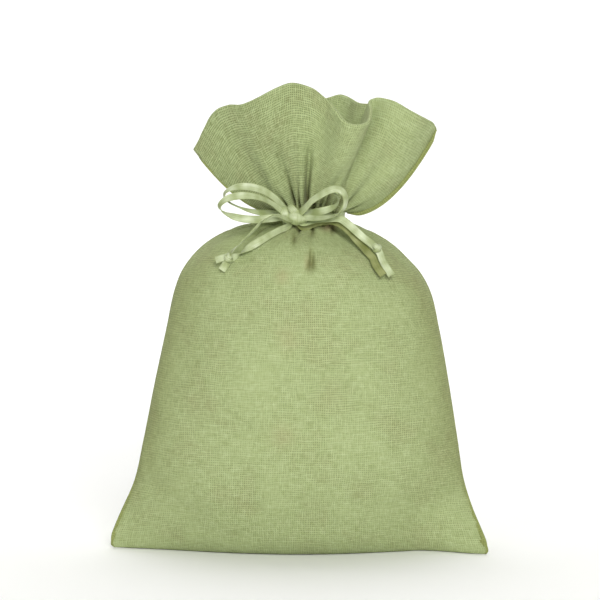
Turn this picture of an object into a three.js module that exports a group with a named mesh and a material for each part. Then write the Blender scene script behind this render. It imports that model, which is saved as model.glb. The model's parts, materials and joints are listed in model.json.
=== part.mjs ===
// A drawstring gift sack of thin woven cloth, filled and standing, tied shut with a double satin ribbon.
// Two panels are sewn at the sides and the bottom. The mouth is turned down into a deep doubled ruffle,
// and two stitch rows at the foot of the ruffle make the channel that both ribbons run through.
// Millimetres, +Z up, X across the panels, the front faces -Y. The origin is on the floor.
import * as THREE from "three";

// ---- Driving dimensions ----
const panelWidth = 150; // one flat panel, side seam to side seam
const bodyHeight = 134; // floor to the middle of the channel
const bellyDepth = 76; // front to back where the filled body is deepest
const neckShift = 5; // the tie sits this far to the right of the base
const neckRadius = 13.5; // outside of the gathered channel
const channelHeight = 9; // between the two stitch rows
const ruffleLeft = 47.5; // reach of the ruffle's corners from the middle of the neck
const ruffleRight = 49.5;
const ruffleDepth = 29; // reach of the ruffle's rim to the front and to the back
const ruffleLeftRise = 27; // height of the rim above the tie, at each corner and in the middle
const ruffleRightRise = 34;
const ruffleMiddleRise = 53;
const cloth = 0.8; // one layer, drawn thicker than it is woven
const clearance = 0.3; // between pieces that touch
const seamThickness = 0.6;
const seamWidth = 6; // how far a seam allowance reaches inwards
const pleats = 14; // gathers round the neck
const ribbonWidth = 3;
const ribbonThickness = 0.4;
const threadRadius = 0.25;
const knotAngle = -22; // degrees round the neck from the front, towards the right
const knotRadius = 3.3;
const endKnotRadius = 1.8;

// ---- Values that follow from them ----
const degrees = Math.PI / 180;
const neck = new THREE.Vector3(neckShift, 0, bodyHeight); // middle of the tie, and pivot of the ruffle
const doubled = 2 * cloth;
const seamGap = seamThickness / 2 + clearance; // from the seam's middle to the base edge of a panel
const sideGap = seamGap + 0.2; // and to its side edge
const channelPleat = 1.4; // depth of the gathers in the outer layer
const liningPleat = 7.2; // and in the lining, where they crowd together and close the mouth
const pleatSteps = 6; // facets in one pleat
const slotFront = 77.1429; // each side slot in the channel runs between these angles from the front,
const slotBack = 102.8571; // which are three and four pleats round
const slotLeadIn = 76; // where a ribbon starts to turn in to its slot
const ribbonRing = neckRadius - channelPleat - cloth - clearance - ribbonThickness / 2 - 0.6;
const liningRadius = ribbonRing - ribbonThickness / 2 - clearance;
const leadInner = neckRadius + threadRadius + clearance + ribbonThickness / 2 + 0.1;
const leadOuter = leadInner + ribbonThickness + clearance;
const knotReach = leadOuter + ribbonThickness / 2 + clearance + knotRadius;
const channelTop = channelHeight / 2;
const channelReach = Math.hypot(neckRadius + 2 * threadRadius + clearance, channelTop);
const ruffleFoot = channelReach + clearance; // the foot of the ruffle turns round the channel on this radius

// Level lines of the filled body, from the floor up. height is a share of bodyHeight, half and shift are
// shares of panelWidth, depth is a share of bellyDepth, and pinch says how sharply the section closes at
// the side seams: 1 is an ellipse, 3 a flattened corner.
const bodyLevels = [
  { height: 0.0, half: 0.49, shift: -0.003, depth: 0.29, pinch: 3.2 },
  { height: 0.03, half: 0.497, shift: -0.006, depth: 0.34, pinch: 3.0 },
  { height: 0.11, half: 0.475, shift: -0.012, depth: 0.385, pinch: 2.2 },
  { height: 0.2, half: 0.442, shift: -0.004, depth: 0.405, pinch: 1.4 },
  { height: 0.32, half: 0.422, shift: 0.002, depth: 0.43, pinch: 1.0 },
  { height: 0.5, half: 0.39, shift: 0.007, depth: 0.47, pinch: 1.0 },
  { height: 0.67, half: 0.359, shift: 0.01, depth: 0.5, pinch: 1.0 },
  { height: 0.79, half: 0.335, shift: 0.004, depth: 0.485, pinch: 1.0 },
  { height: 0.87, half: 0.29, shift: -0.003, depth: 0.42, pinch: 1.0 },
  { height: 0.93, half: 0.235, shift: -0.006, depth: 0.315, pinch: 1.0 },
  { height: 0.952, half: 0.185, shift: 0.002, depth: 0.24, pinch: 1.0 },
];

// ---- Geometry helpers ----

// A closed body from two matching grids of points, one on each face. wraps joins the last column to the
// first, for a ring.
function shell(outer, inner, wraps = false) {
  const rows = outer.length;
  const columns = outer[0].length;
  const positions = [];
  for (const point of [...outer, ...inner].flat()) positions.push(point.x, point.y, point.z);
  const at = (face, row, column) => face * rows * columns + row * columns + (column % columns);
  const index = [];
  const quad = (a, b, c, d) => index.push(a, b, c, a, c, d);
  const steps = wraps ? columns : columns - 1;
  for (let r = 0; r < rows - 1; r++) {
    for (let c = 0; c < steps; c++) {
      quad(at(0, r, c), at(0, r, c + 1), at(0, r + 1, c + 1), at(0, r + 1, c));
      quad(at(1, r, c), at(1, r + 1, c), at(1, r + 1, c + 1), at(1, r, c + 1));
    }
    if (!wraps) {
      quad(at(0, r, 0), at(0, r + 1, 0), at(1, r + 1, 0), at(1, r, 0));
      quad(at(0, r, steps), at(1, r, steps), at(1, r + 1, steps), at(0, r + 1, steps));
    }
  }
  for (let c = 0; c < steps; c++) {
    quad(at(0, 0, c), at(1, 0, c), at(1, 0, c + 1), at(0, 0, c + 1));
    quad(at(0, rows - 1, c), at(0, rows - 1, c + 1), at(1, rows - 1, c + 1), at(1, rows - 1, c));
  }
  return outward(positions, index);
}

// The geometry with its faces turned to point out, whichever way the grid ran.
function outward(positions, index) {
  const corner = (i) => new THREE.Vector3().fromArray(positions, 3 * index[i]);
  let volume = 0;
  for (let i = 0; i < index.length; i += 3) {
    volume += corner(i).dot(corner(i + 1).cross(corner(i + 2)));
  }
  if (volume < 0) index.reverse();
  const geometry = new THREE.BufferGeometry();
  geometry.setAttribute("position", new THREE.Float32BufferAttribute(positions, 3));
  geometry.setIndex(index);
  geometry.computeVertexNormals();
  return geometry;
}

// A flat band swept along a curve. across gives the direction of its width at each share of the length.
function band(curve, steps, across, width = ribbonWidth, thickness = ribbonThickness) {
  const top = [];
  const bottom = [];
  for (let i = 0; i <= steps; i++) {
    const point = curve.getPointAt(i / steps);
    const along = curve.getTangentAt(i / steps);
    const side = across(i / steps).addScaledVector(along, -across(i / steps).dot(along)).normalize();
    const up = new THREE.Vector3().crossVectors(along, side).normalize();
    const edge = (s, u) =>
      point.clone().addScaledVector(side, (s * width) / 2).addScaledVector(up, (u * thickness) / 2);
    top.push([edge(-1, 1), edge(1, 1)]);
    bottom.push([edge(-1, -1), edge(1, -1)]);
  }
  return shell(top, bottom);
}

const curveThrough = (points) => new THREE.CatmullRomCurve3(points, false, "centripetal");
const blend = (a, b, t) => a + (b - a) * t;

// A point round the neck: angle in degrees from the front towards the right, radius, height above the tie.
function roundNeck(angle, radius, rise) {
  const a = angle * degrees;
  return new THREE.Vector3(neck.x + radius * Math.sin(a), -radius * Math.cos(a), neck.z + rise);
}

// ---- Body cloth ----

// The level line at a share of the body's height, in millimetres, smooth through the levels given above.
// Above the last level it runs in to the neck.
function levelAt(share) {
  const top = (bodyHeight - channelTop - clearance) / bodyHeight;
  const levels = [
    ...bodyLevels.map((l) => ({
      height: l.height,
      half: l.half * panelWidth,
      shift: l.shift * panelWidth,
      depth: l.depth * bellyDepth,
      pinch: l.pinch,
    })),
    { height: top, half: neckRadius, shift: neckShift, depth: neckRadius, pinch: 1 },
  ];
  let i = levels.findIndex((l, n) => n > 0 && share <= l.height);
  if (i < 0) i = levels.length - 1;
  const t = (share - levels[i - 1].height) / (levels[i].height - levels[i - 1].height);
  const before = levels[Math.max(i - 2, 0)];
  const [from, to] = [levels[i - 1], levels[i]];
  const after = levels[Math.min(i + 1, levels.length - 1)];
  const slope = (key, a, b) => (b[key] - a[key]) / (b.height - a.height);
  const smooth = (key) => {
    const rise = (to.height - from.height) * (slope(key, before, to) * (t ** 3 - 2 * t ** 2 + t));
    const fall = (to.height - from.height) * (slope(key, from, after) * (t ** 3 - t ** 2));
    return from[key] * (2 * t ** 3 - 3 * t ** 2 + 1) + to[key] * (3 * t ** 2 - 2 * t ** 3) + rise + fall;
  };
  return {
    z: share * bodyHeight,
    half: smooth("half"),
    shift: smooth("shift"),
    depth: smooth("depth"),
    pinch: smooth("pinch"),
  };
}

const panelShares = (() => {
  const top = (bodyHeight - channelTop - clearance) / bodyHeight;
  return [0, 0.03, 0.07, 0.12, 0.2, 0.32, 0.5, 0.67, 0.79, 0.87, 0.905, 0.93, 0.952, top];
})();

// One panel: side is -1 for the front and 1 for the back. Its base lies on the floor as far as the bottom
// seam, and it stands clear of the seam strips by the clearance.
function panel(side) {
  const columns = 20;
  const line = (level, inset, edge) => {
    const row = [];
    for (let c = 0; c <= columns; c++) {
      const turn = (Math.PI * c) / columns;
      const out = edge + (level.depth - edge - inset) * Math.max(0, Math.sin(turn)) ** level.pinch;
      row.push(new THREE.Vector3(level.shift - (level.half - inset) * Math.cos(turn), side * out, level.z));
    }
    return row;
  };
  const floorLevel = levelAt(0);
  const seamRow = (inset, z) =>
    line(floorLevel, inset, seamGap).map((p) => new THREE.Vector3(p.x, side * seamGap, z));
  const outer = panelShares.map((share) => line(levelAt(share), 0, sideGap + cloth));
  const inner = panelShares.map((share) => line(levelAt(share), cloth, sideGap));
  const aboveBase = (row, i) => row.forEach((p) => (p.z = Math.max(p.z, cloth + i * 0.02)));
  inner.forEach(aboveBase);
  outer.unshift(seamRow(0, 0));
  inner.unshift(seamRow(cloth, cloth));
  return shell(outer, inner);
}

// The folded allowance inside a side seam: side is -1 for the left and 1 for the right.
function sideSeam(side) {
  const rows = panelShares.filter((share) => share > 0).map((share) => {
    const level = levelAt(share);
    const outerX = level.shift + side * level.half;
    const width = Math.min(seamWidth, level.half - seamWidth / 2);
    return [new THREE.Vector3(outerX, 0, level.z), new THREE.Vector3(outerX - side * width, 0, level.z)];
  });
  const face = (y) => rows.map((row) => row.map((p) => new THREE.Vector3(p.x, y, p.z)));
  return shell(face(-seamThickness / 2), face(seamThickness / 2));
}

// The allowance of the bottom seam, standing up inside between the two side seams.
function bottomSeam() {
  const level = levelAt(panelShares[1]);
  const half = level.half - seamWidth - 2 * clearance - 1;
  const [left, right] = [level.shift - half, level.shift + half];
  const rows = [clearance, seamWidth].map((z) => {
    const inset = z > clearance ? seamWidth / 2 : 0;
    return [new THREE.Vector3(left + inset, 0, z), new THREE.Vector3(right - inset, 0, z)];
  });
  const face = (y) => rows.map((row) => row.map((p) => new THREE.Vector3(p.x, y, p.z)));
  return shell(face(-seamThickness / 2), face(seamThickness / 2));
}

// ---- Channel ----

// The gathered edge: a radius that falls in at each pleat.
const gathered = (radius, depth, angle) => radius - (depth * (1 - Math.cos(pleats * angle * degrees))) / 2;

// A gathered layer of the channel between two angles, full or with the slots that the ribbons leave by.
function channelLayer(radius, depth, from, to) {
  const whole = to - from >= 360;
  const steps = Math.round((pleats * pleatSteps * (to - from)) / 360);
  const grid = (inset) =>
    [-channelTop, channelTop].map((rise) => {
      const row = [];
      for (let i = 0; i < steps + (whole ? 0 : 1); i++) {
        const angle = blend(from, to, i / steps);
        row.push(roundNeck(angle, gathered(radius, depth, angle) - inset, rise));
      }
      return row;
    });
  return shell(grid(0), grid(cloth), whole);
}

// One row of stitches round the outside of the channel, following the gathers.
function stitchRow(rise) {
  const steps = pleats * pleatSteps;
  const sides = 4;
  const ring = (r, z) => {
    const row = [];
    for (let i = 0; i < steps; i++) {
      const angle = (360 * i) / steps;
      const middle = gathered(neckRadius, channelPleat, angle) + clearance + threadRadius;
      row.push(roundNeck(angle, middle + r, rise + z));
    }
    return row;
  };
  const section = [];
  for (let s = 0; s < sides; s++) {
    const a = (2 * Math.PI * s) / sides;
    section.push(ring(threadRadius * Math.cos(a), threadRadius * Math.sin(a)));
  }
  const positions = section.flat().flatMap((p) => p.toArray());
  const index = [];
  const at = (s, i) => (s % sides) * steps + (i % steps);
  for (let s = 0; s < sides; s++) {
    for (let i = 0; i < steps; i++) {
      index.push(at(s, i), at(s, i + 1), at(s + 1, i + 1), at(s, i), at(s + 1, i + 1), at(s + 1, i));
    }
  }
  return outward(positions, index);
}

// ---- Drawstring ribbons, held all the way ----

// One ribbon: from under the bow knot it follows the neck to its own side slot, runs once round inside the
// channel and comes back out of the same slot to the knot. side is -1 for the left and 1 for the right.
function drawstring(side) {
  const level = -side * (ribbonWidth / 2 + clearance); // the two ribbons lie one above the other
  const start = side * knotAngle + 2.5; // angle of the knot, counted towards this ribbon's own side
  const leadSteps = Math.max(2, Math.round((slotLeadIn - start) / 14));
  const turns = [];
  const add = (angle, radius, rise) => turns.push(roundNeck(side * angle, radius, rise));
  for (let i = 0; i < leadSteps; i++) {
    add(blend(start, slotLeadIn, i / leadSteps), leadOuter, (0.8 * level * i) / leadSteps);
  }
  add(83, leadOuter - 0.1, level);
  add(90.5, blend(ribbonRing, leadOuter, 0.72), level);
  add(96.5, blend(ribbonRing, leadOuter, 0.3), level);
  add(104, ribbonRing + 0.05, level);
  for (let angle = 118; angle <= 434; angle += 14) {
    add(angle, ribbonRing, level);
  }
  add(443, ribbonRing + 0.1, level);
  add(449, blend(ribbonRing, leadInner, 0.35), level);
  add(448.5, blend(ribbonRing, leadInner, 0.75), level);
  add(442, leadInner, level);
  for (let i = leadSteps - 1; i >= 0; i--) {
    add(360 + blend(start, slotLeadIn, i / leadSteps), leadInner, (0.8 * level * i) / leadSteps);
  }
  const upright = () => new THREE.Vector3(0, 0, 1);
  return band(curveThrough(turns), 80, upright);
}

// ---- Ruffle ----

// The rim of the ruffle above the neck, and the point at a share of the way out to it.
function rufflePoint(angle, share, inset) {
  const a = angle * degrees;
  const [s, c] = [Math.sin(a), Math.cos(a)];
  const reach = s < 0 ? ruffleLeft : ruffleRight;
  const cornerRise = s < 0 ? ruffleLeftRise : ruffleRightRise;
  const lobe = 1 + 0.07 * Math.cos(7 * a + 0.6) * share;
  const rim = new THREE.Vector3(
    (reach - inset) * s,
    -(ruffleDepth - inset) * c * lobe,
    blend(cornerRise, ruffleMiddleRise, Math.abs(c) ** 1.1),
  );
  const foot = new THREE.Vector3(s, -c, 0).multiplyScalar(neckRadius + 0.3 - inset);
  foot.z = Math.sqrt(ruffleFoot ** 2 - (neckRadius + 0.3 - inset) ** 2);
  const bend = foot.clone().lerp(rim, blend(0.45, 0.7, Math.abs(s)));
  bend.z = blend(foot.z, rim.z, blend(0.25, 0.1, Math.abs(s))) + inset * 0.5;
  const q = 1 - share;
  foot.multiplyScalar(q ** 2);
  return foot.addScaledVector(bend, 2 * q * share).addScaledVector(rim, share ** 2).add(neck);
}

// Half of the doubled ruffle. middle is 0 for the front and 180 for the back.
function ruffleHalf(middle) {
  const columns = 30;
  const edge = 2.2; // degrees left open at each side for the seam
  const rows = [0, 0.2, 0.4, 0.6, 0.8, 1];
  const grid = (inset) =>
    rows.map((share) => {
      const row = [];
      for (let c = 0; c <= columns; c++) {
        const open = edge * blend(2.2, 1, share);
        row.push(rufflePoint(middle + blend(-90 + open, 90 - open, c / columns), share, inset));
      }
      return row;
    });
  return shell(grid(0), grid(doubled));
}

// The seam that joins the two halves of the ruffle at one side.
function ruffleSeam(side) {
  const rows = [0, 0.2, 0.4, 0.6, 0.8, 1].map((share) => [
    rufflePoint(side * 90, share, 0),
    rufflePoint(side * 90, share, doubled),
  ]);
  const face = (y) => rows.map((row) => row.map((p) => new THREE.Vector3(p.x, y, p.z)));
  return shell(face(-seamThickness / 2), face(seamThickness / 2));
}

// ---- Bow ----

const knot = roundNeck(knotAngle, knotReach, 0);

// The routes of the free ribbon, as points from the middle of the knot: right, back, up.
const routes = {
  left_front_loop: {
    tilt: [0.15, 0.8, 0.6],
    points: [
      [-4.6, -2.8, 2.6], [-8.4, -5.2, 5.6], [-13, -7, 8], [-18, -7.8, 9], [-22.8, -8, 8.8],
      [-26.8, -7.9, 7.6], [-29.2, -7.7, 5.4], [-28.6, -7.8, 3.2], [-25.6, -7.9, 1.5],
      [-21, -7.8, 0.2], [-15.6, -7, -0.3], [-10, -5, 0], [-5, -3, 0.6],
    ],
  },
  left_back_loop: {
    tilt: [0.1, 0.9, 0.4],
    points: [
      [-3.9, 1, 3.8], [-8, -0.6, 8], [-12.4, -2, 10.9], [-17.4, -2.8, 12.3], [-22.6, -3.2, 12.3],
      [-26.8, -3.4, 10.6], [-27.6, -3.5, 8.2], [-25.6, -3.4, 6.2], [-22.4, -3.2, 4.6], [-18.4, -2.8, 3.2],
      [-14, -1.8, 2.3], [-9.4, -0.2, 1.8], [-5, 1.2, 1.3],
    ],
  },
  right_front_loop: {
    tilt: [0.1, 0.95, 0.25],
    points: [
      [3.6, -2.8, 3.4], [6.6, -4.8, 6.8], [10, -6.4, 9.2], [13.2, -7.4, 11], [16.2, -7.8, 11.6],
      [18.8, -7.8, 10.4], [19.9, -7.6, 7.4], [18.9, -7.4, 3.8], [16.2, -7.2, 1.4], [12, -6.4, 0.4],
      [8.4, -5, 0.1], [4.9, -3, 0.2],
    ],
  },
  right_back_loop: {
    tilt: [0.1, 0.95, 0.3],
    points: [
      [3.5, 0.6, 4], [6.2, -0.9, 6.8], [9.2, -2.3, 8.7], [12.4, -3.4, 10], [15.4, -4, 9.8], [17, -4, 7.6],
      [16.3, -3.9, 5.2], [13.6, -3.5, 3.7], [10.2, -2.3, 2.7], [7.4, -0.7, 2.2], [5, 0.6, 1.9],
    ],
  },
  left_edge_tail: {
    tilt: [0.35, 0.9, 0.1],
    points: [
      [-2.4, -4.4, -0.3], [-5, -6.9, 0.6], [-7.9, -8.6, 1.5], [-10.4, -10.2, 0.6], [-12.8, -11.1, -0.9],
      [-15.6, -11.6, -4], [-18.8, -11.4, -7.2], [-22.2, -10.8, -10.4], [-24.6, -10.2, -12.8],
    ],
  },
  left_flat_tail: {
    tilt: [0.45, 0.25, 0.9],
    points: [
      [-2.8, -2, -3.2], [-6, -4.6, -4.6], [-10, -7, -6.6], [-14, -8.4, -8.9], [-18, -8.9, -11.3],
      [-21.2, -8.7, -13.4], [-23.2, -8.8, -14.6],
    ],
  },
  right_bright_tail: {
    tilt: [0.5, 0.2, 0.85],
    points: [
      [3.9, -1.2, -2], [8.6, -1.8, -0.8], [13, -2.9, -0.2], [17.4, -4.5, 0], [20.8, -5.9, -2.1],
      [24, -6.7, -4.9], [27.2, -6.9, -7.7], [29.9, -6.8, -9.7],
    ],
  },
  right_shaded_tail: {
    tilt: [0.6, 0.2, 0.75],
    points: [
      [3.6, 0.3, -3.6], [7.2, 0.8, -2.4], [11, 0.3, -1.4], [15, -1.2, -1.2], [18.6, -3.4, -2.7],
      [21.6, -4.6, -5.4], [24.4, -5.4, -8.6], [27.2, -6.2, -11.6], [29.2, -7, -13.9],
    ],
  },
};

const fromKnot = ([x, y, z]) => new THREE.Vector3(x, y, z).add(knot);

function route(name) {
  const { points, tilt } = routes[name];
  const across = () => new THREE.Vector3(...tilt);
  return band(curveThrough(points.map(fromKnot)), 4 * (points.length - 1), across);
}

// A rounded lump where ribbon is knotted.
function lump(centre, radius, segments) {
  const geometry = new THREE.SphereGeometry(radius, segments, segments / 2);
  geometry.translate(...centre.toArray());
  return geometry;
}

const endKnots = { left: [-26, -9.4, -15.2], right: [32, -6.8, -11.4] };

// The two cut ends that stand out past an end knot.
const cutEnds = {
  left_end_upper: [[-28.1, -9.4, -15.2], [-29.4, -9.2, -15.6], [-30.8, -8.8, -16.2]],
  left_end_lower: [[-26.6, -9.7, -17.3], [-27.4, -9.9, -18.6], [-28.4, -9.9, -20]],
  right_end_outer: [[33.3, -7, -13.6], [34.2, -7.6, -16.2], [35.8, -8.8, -19], [37.8, -10.2, -22]],
  right_end_inner: [[30.6, -7.8, -15.4], [31.4, -9.2, -17.6], [32.9, -10.5, -19.8], [34.5, -11.7, -21.8]],
};

function cutEnd(name) {
  const across = () => new THREE.Vector3(0.6, 0.2, name.startsWith("left") ? 0.9 : 0.3);
  return band(curveThrough(cutEnds[name].map(fromKnot)), 4, across, ribbonWidth * 0.8);
}

// ---- The assembly ----

const clothMaterial = new THREE.MeshStandardMaterial({ color: 0xb0bc8e, roughness: 0.95, metalness: 0 });
const ribbonMaterial = new THREE.MeshStandardMaterial({ color: 0xc5cea7, roughness: 0.45, metalness: 0 });
const threadMaterial = new THREE.MeshStandardMaterial({ color: 0xa7b37f, roughness: 0.85, metalness: 0 });

const sack = new THREE.Group();
function add(name, geometry, material) {
  const mesh = new THREE.Mesh(geometry, material);
  mesh.name = name;
  sack.add(mesh);
}

add("front_panel", panel(-1), clothMaterial);
add("back_panel", panel(1), clothMaterial);
add("left_side_seam", sideSeam(-1), clothMaterial);
add("right_side_seam", sideSeam(1), clothMaterial);
add("bottom_seam", bottomSeam(), clothMaterial);

add("channel_front", channelLayer(neckRadius, channelPleat, -slotFront, slotFront), clothMaterial);
add("channel_back", channelLayer(neckRadius, channelPleat, slotBack, 360 - slotBack), clothMaterial);
add("channel_lining", channelLayer(liningRadius, liningPleat, 0, 360), clothMaterial);
add("lower_channel_stitching", stitchRow(-channelTop + threadRadius), threadMaterial);
add("upper_channel_stitching", stitchRow(channelTop - threadRadius), threadMaterial);

add("left_drawstring", drawstring(-1), ribbonMaterial);
add("right_drawstring", drawstring(1), ribbonMaterial);

add("front_ruffle", ruffleHalf(0), clothMaterial);
add("back_ruffle", ruffleHalf(180), clothMaterial);
add("left_ruffle_seam", ruffleSeam(-1), clothMaterial);
add("right_ruffle_seam", ruffleSeam(1), clothMaterial);

add("bow_knot", lump(knot, knotRadius, 20), ribbonMaterial);
for (const name of Object.keys(routes)) add(name, route(name), ribbonMaterial);
add("left_end_knot", lump(fromKnot(endKnots.left), endKnotRadius, 12), ribbonMaterial);
add("right_end_knot", lump(fromKnot(endKnots.right), endKnotRadius, 12), ribbonMaterial);
for (const name of Object.keys(cutEnds)) add(name, cutEnd(name), ribbonMaterial);

export default sack;
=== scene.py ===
import json
import math

import bmesh
import bpy
import numpy as np
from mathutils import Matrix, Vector, noise


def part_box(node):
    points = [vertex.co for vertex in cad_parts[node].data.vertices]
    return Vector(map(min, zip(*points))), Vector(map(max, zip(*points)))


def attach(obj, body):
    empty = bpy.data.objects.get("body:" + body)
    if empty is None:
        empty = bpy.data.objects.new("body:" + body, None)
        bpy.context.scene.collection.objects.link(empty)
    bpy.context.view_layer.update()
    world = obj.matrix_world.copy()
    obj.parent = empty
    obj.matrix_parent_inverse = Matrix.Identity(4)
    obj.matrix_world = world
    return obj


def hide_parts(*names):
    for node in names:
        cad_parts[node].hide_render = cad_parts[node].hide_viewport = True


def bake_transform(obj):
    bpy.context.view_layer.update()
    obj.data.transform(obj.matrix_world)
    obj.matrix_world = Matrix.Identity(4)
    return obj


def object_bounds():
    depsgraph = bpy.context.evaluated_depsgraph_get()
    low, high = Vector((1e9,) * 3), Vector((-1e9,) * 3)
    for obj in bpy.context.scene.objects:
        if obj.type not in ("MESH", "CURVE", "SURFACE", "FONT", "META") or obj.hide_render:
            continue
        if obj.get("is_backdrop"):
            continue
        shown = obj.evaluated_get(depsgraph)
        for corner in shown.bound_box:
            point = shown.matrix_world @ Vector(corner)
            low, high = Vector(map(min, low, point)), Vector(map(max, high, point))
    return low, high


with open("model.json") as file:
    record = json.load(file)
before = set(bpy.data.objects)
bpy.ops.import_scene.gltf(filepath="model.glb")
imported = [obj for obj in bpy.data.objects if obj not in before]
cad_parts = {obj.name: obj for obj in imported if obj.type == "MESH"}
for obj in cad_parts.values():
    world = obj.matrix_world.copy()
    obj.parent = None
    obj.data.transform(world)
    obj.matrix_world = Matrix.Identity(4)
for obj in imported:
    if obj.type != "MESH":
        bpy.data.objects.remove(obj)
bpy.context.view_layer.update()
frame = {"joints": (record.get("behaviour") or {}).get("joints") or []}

mm = 0.001
tiePoint = Vector(frame["joints"][0]["pos_m"])  # middle of the gathered neck, and pivot of the ruffle
knotLow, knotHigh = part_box("bow_knot")
knotMiddle = (knotLow + knotHigh) / 2


# camera first, because the free ribbon is judged in its view
camera = {
    "distance": 0.95,
    "elevation": 4.0,
    "aim": (0.0, 0.0, 0.1005),
    "lens": 142.0,
}


def addCamera():
    data = bpy.data.cameras.new("camera")
    data.lens = camera["lens"]
    data.clip_start = 0.05
    cam = bpy.data.objects.new("camera", data)
    bpy.context.scene.collection.objects.link(cam)
    tilt = math.radians(camera["elevation"])
    aim = Vector(camera["aim"])
    cam.location = aim + camera["distance"] * Vector((0, -math.cos(tilt), math.sin(tilt)))
    cam.rotation_euler = (aim - cam.location).to_track_quat("-Z", "Y").to_euler()
    bpy.context.scene.camera = cam


addCamera()
print("camera set")


# ---- materials ----

def startMaterial(name):
    mat = bpy.data.materials.new(name)
    mat.use_nodes = True
    return mat, mat.node_tree, mat.node_tree.nodes["Principled BSDF"]


def feed(tree, socket, value):
    # a socket takes a number, a vector, a colour or another node's output
    if isinstance(value, (int, float)):
        socket.default_value = value
    elif isinstance(value, tuple):
        socket.default_value = (*value, 1) if socket.type == "RGBA" else value
    else:
        tree.links.new(value, socket)


def addNode(tree, kind, inputs=(), **settings):
    node = tree.nodes.new("ShaderNode" + kind)
    for key, value in settings.items():
        setattr(node, key, value)
    for place, value in dict(inputs).items():
        feed(tree, node.inputs[place], value)
    return node


def addMath(tree, operation, *values, clamp=False):
    return addNode(tree, "Math", enumerate(values), operation=operation, use_clamp=clamp).outputs[0]


def addNoise(tree, vector, scale, detail=2.0, roughness=0.5, out="Fac"):
    inputs = {"Vector": vector, "Scale": scale, "Detail": detail, "Roughness": roughness}
    return addNode(tree, "TexNoise", inputs).outputs[out]


def addStreaks(tree, vector, stretch, detail, roughness):
    # noise drawn out along one direction
    mapping = addNode(tree, "Mapping", {"Vector": vector, "Scale": stretch})
    return addNoise(tree, mapping.outputs[0], 1.0, detail, roughness)


def addAttribute(tree, name):
    return addNode(tree, "Attribute", attribute_name=name).outputs["Fac"]


def addRamp(tree, value, low, high):
    # low and high are each a place and the colour there
    node = addNode(tree, "ValToRGB", {"Fac": value})
    for element, (place, colour) in zip(node.color_ramp.elements, (low, high)):
        element.position = place
        element.color = (*colour, 1)
    return node.outputs["Color"]


def mixColour(tree, kind, fac, first, second):
    inputs = {0: fac, 6: first, 7: second}
    return addNode(tree, "Mix", inputs, data_type="RGBA", blend_type=kind, clamp_factor=True).outputs[2]


def finishShader(tree, shader, height, strength, distance, inputs):
    bump = addNode(tree, "Bump", {"Height": height, "Strength": strength, "Distance": distance})
    tree.links.new(bump.outputs[0], shader.inputs["Normal"])
    for socket, value in inputs.items():
        feed(tree, shader.inputs[socket], value)


gauze = {
    "pitch": 0.00084,  # one thread and its gap
    "wander": 0.0018,  # how far the threads stray
    "thread": (0.325, 0.388, 0.165),
    "slub": (0.455, 0.53, 0.275),
    "gap": (0.13, 0.16, 0.055),
    "turned": (0.74, 0.715, 0.50),  # painted shade: the colour multiplied in where the cloth turns away from the front and up
    "tint_and_warm_shade": (0.42, 0.30, 0.17),  # reddish-brown tint; at the neck under the bow and knot it is painted warm shade
    "warm": (0.36, 0.33, 0.17),
    # painted shade colour for the depths of gathers, folds and pinches
    "fold_shade": (0.175, 0.165, 0.055),
    "bump": 0.5,
    "relief": 0.0003,
}


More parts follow.
